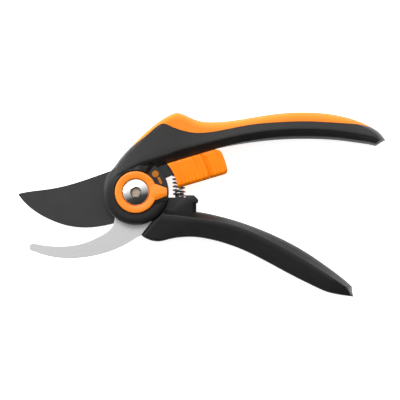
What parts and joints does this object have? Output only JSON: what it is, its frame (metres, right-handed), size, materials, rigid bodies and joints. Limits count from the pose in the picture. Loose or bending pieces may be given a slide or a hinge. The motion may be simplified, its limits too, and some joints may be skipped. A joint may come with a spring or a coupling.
{
  "type": "bypass pruner",
  "caption": "Hand pruner with a curved cutting blade that passes a hooked counter blade, sprung handles, a sliding lock and an opening selector.",
  "frame": {"origin": "pivot axis, in the plane that the tool rests on when it lies on its back", "axes": "+X towards the handle ends, +Y towards the upper handle, +Z along the pivot bolt towards its domed head"},
  "size_m": [0.2203, 0.1107, 0.0237],
  "materials": {
    "handle_plastic": "moulded, fine satin texture",
    "lower_handle_plastic": "moulded, fine satin texture",
    "grip_rubber": "soft overmould, fine matt texture",
    "orange_plastic": "moulded, satin",
    "mark_plastic": "moulded insert",
    "blade_coating": "low-friction black coating on steel",
    "hook_steel": "ground and brushed along its length",
    "bolt_chrome": "polished",
    "hardware_steel": "zinc plated",
    "spring_steel": "drawn wire",
    "bushing_brass": "turned",
    "seat_plastic": "moulded",
    "pad_rubber": "moulded"
  },
  "bodies": {
    "upper_body": {"upper_handle": "handle_plastic", "upper_grip": "grip_rubber", "size_mark": "mark_plastic", "hook_blade": "hook_steel", "pivot_bolt": "bolt_chrome", "pivot_nut": "hardware_steel", "spring_washer": "hardware_steel", "dial_washer": "hardware_steel", "hook_rivets": "hardware_steel", "lock_leaf": "hardware_steel", "detent_ball": "hardware_steel", "detent_spring": "hardware_steel", "return_spring": "spring_steel", "pivot_bushing": "bushing_brass", "upper_spring_seat": "seat_plastic", "spacer_disc": "seat_plastic", "stop_pad": "pad_rubber"},
    "lower_body": {"lower_handle": "lower_handle_plastic", "catch_block": "lower_handle_plastic", "cutting_blade": "blade_coating", "blade_rivets": "hardware_steel", "lower_spring_seat": "seat_plastic"},
    "lock_body": {"lock_slider": "orange_plastic", "lock_tongue": "hardware_steel"},
    "selector_body": {"selector_dial": "orange_plastic"}
  },
  "joints": [
    {"name": "handle_pivot", "type": "hinge", "parent": "upper_body", "child": "lower_body", "pos_m": [0, 0, 0], "axis": [0, 0, 1], "range_deg": [0, 26.5], "stiffness_Nm_per_rad": 1.2, "springref_deg": -11.46, "deforming": ["return_spring"]},
    {"name": "lock_slide", "type": "slide", "parent": "upper_body", "child": "lock_body", "axis": [-0.9588, -0.284, 0], "range_m": [0, 0.005]},
    {"name": "selector_turn", "type": "hinge", "parent": "upper_body", "child": "selector_body", "pos_m": [0, 0, 0.02], "axis": [0, 0, 1], "range_deg": [0, 33]}
  ]
}
